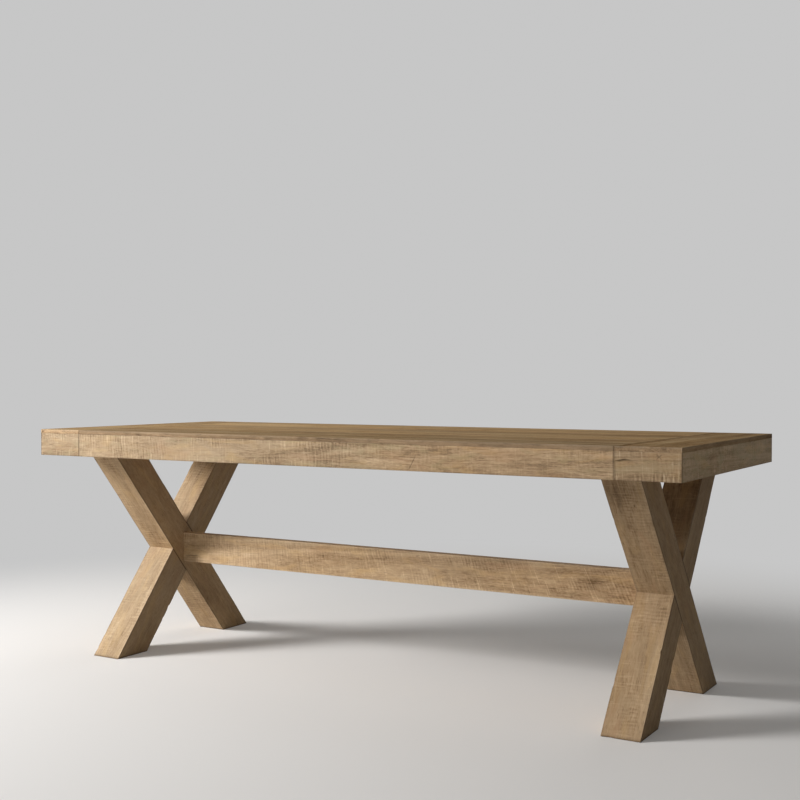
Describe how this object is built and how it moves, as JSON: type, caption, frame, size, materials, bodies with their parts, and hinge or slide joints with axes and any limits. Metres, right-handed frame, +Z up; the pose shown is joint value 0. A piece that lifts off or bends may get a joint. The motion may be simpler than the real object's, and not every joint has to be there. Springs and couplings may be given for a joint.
{
  "type": "sawbuck table",
  "caption": "Trestle dining table with a thick-edged plank top, breadboard ends, crossed half-lapped legs and a plank stretcher.",
  "frame": {"origin": "on the floor, under the middle of the table", "axes": "+X along the table's length, +Y from the front edge to the back, +Z up from the floor to the top"},
  "size_m": [2.184, 0.889, 0.762],
  "materials": {
    "deck_timber": "brushed, matt oil",
    "edge_timber": "saw-marked, matt oil",
    "base_timber": "saw-marked, matt oil",
    "hidden_timber": "planed, bare",
    "core_plywood": "bare plywood",
    "zinc_steel": "zinc plated"
  },
  "bodies": {
    "root": {"deck_board_1": "deck_timber", "deck_board_2": "deck_timber", "deck_board_3": "deck_timber", "deck_board_4": "deck_timber", "deck_board_5": "deck_timber", "deck_board_6": "deck_timber", "breadboard_left": "deck_timber", "fascia_end_left": "edge_timber", "cleat_end_left": "hidden_timber", "cross_batten_left": "hidden_timber", "top_rail_left": "hidden_timber", "breadboard_right": "deck_timber", "fascia_end_right": "edge_timber", "cleat_end_right": "hidden_timber", "cross_batten_right": "hidden_timber", "top_rail_right": "hidden_timber", "fascia_front": "edge_timber", "cleat_front": "hidden_timber", "fascia_return_front_left": "edge_timber", "corner_block_front_left": "hidden_timber", "seam_block_front_left": "hidden_timber", "leg_left_front": "base_timber", "fascia_return_front_right": "edge_timber", "corner_block_front_right": "hidden_timber", "seam_block_front_right": "hidden_timber", "leg_right_front": "base_timber", "fascia_back": "edge_timber", "cleat_back": "hidden_timber", "fascia_return_back_left": "edge_timber", "corner_block_back_left": "hidden_timber", "seam_block_back_left": "hidden_timber", "leg_left_back": "base_timber", "fascia_return_back_right": "edge_timber", "corner_block_back_right": "hidden_timber", "seam_block_back_right": "hidden_timber", "leg_right_back": "base_timber", "stretcher": "base_timber", "core_panel": "core_plywood", "cleat_screws": "zinc_steel", "batten_screws": "zinc_steel", "leg_lag_screws": "zinc_steel", "rail_bolts": "zinc_steel", "rail_washers": "zinc_steel", "threaded_inserts": "zinc_steel", "stretcher_studs": "zinc_steel", "stretcher_washers": "zinc_steel", "stretcher_nuts": "zinc_steel"}
  },
  "joints": []
}
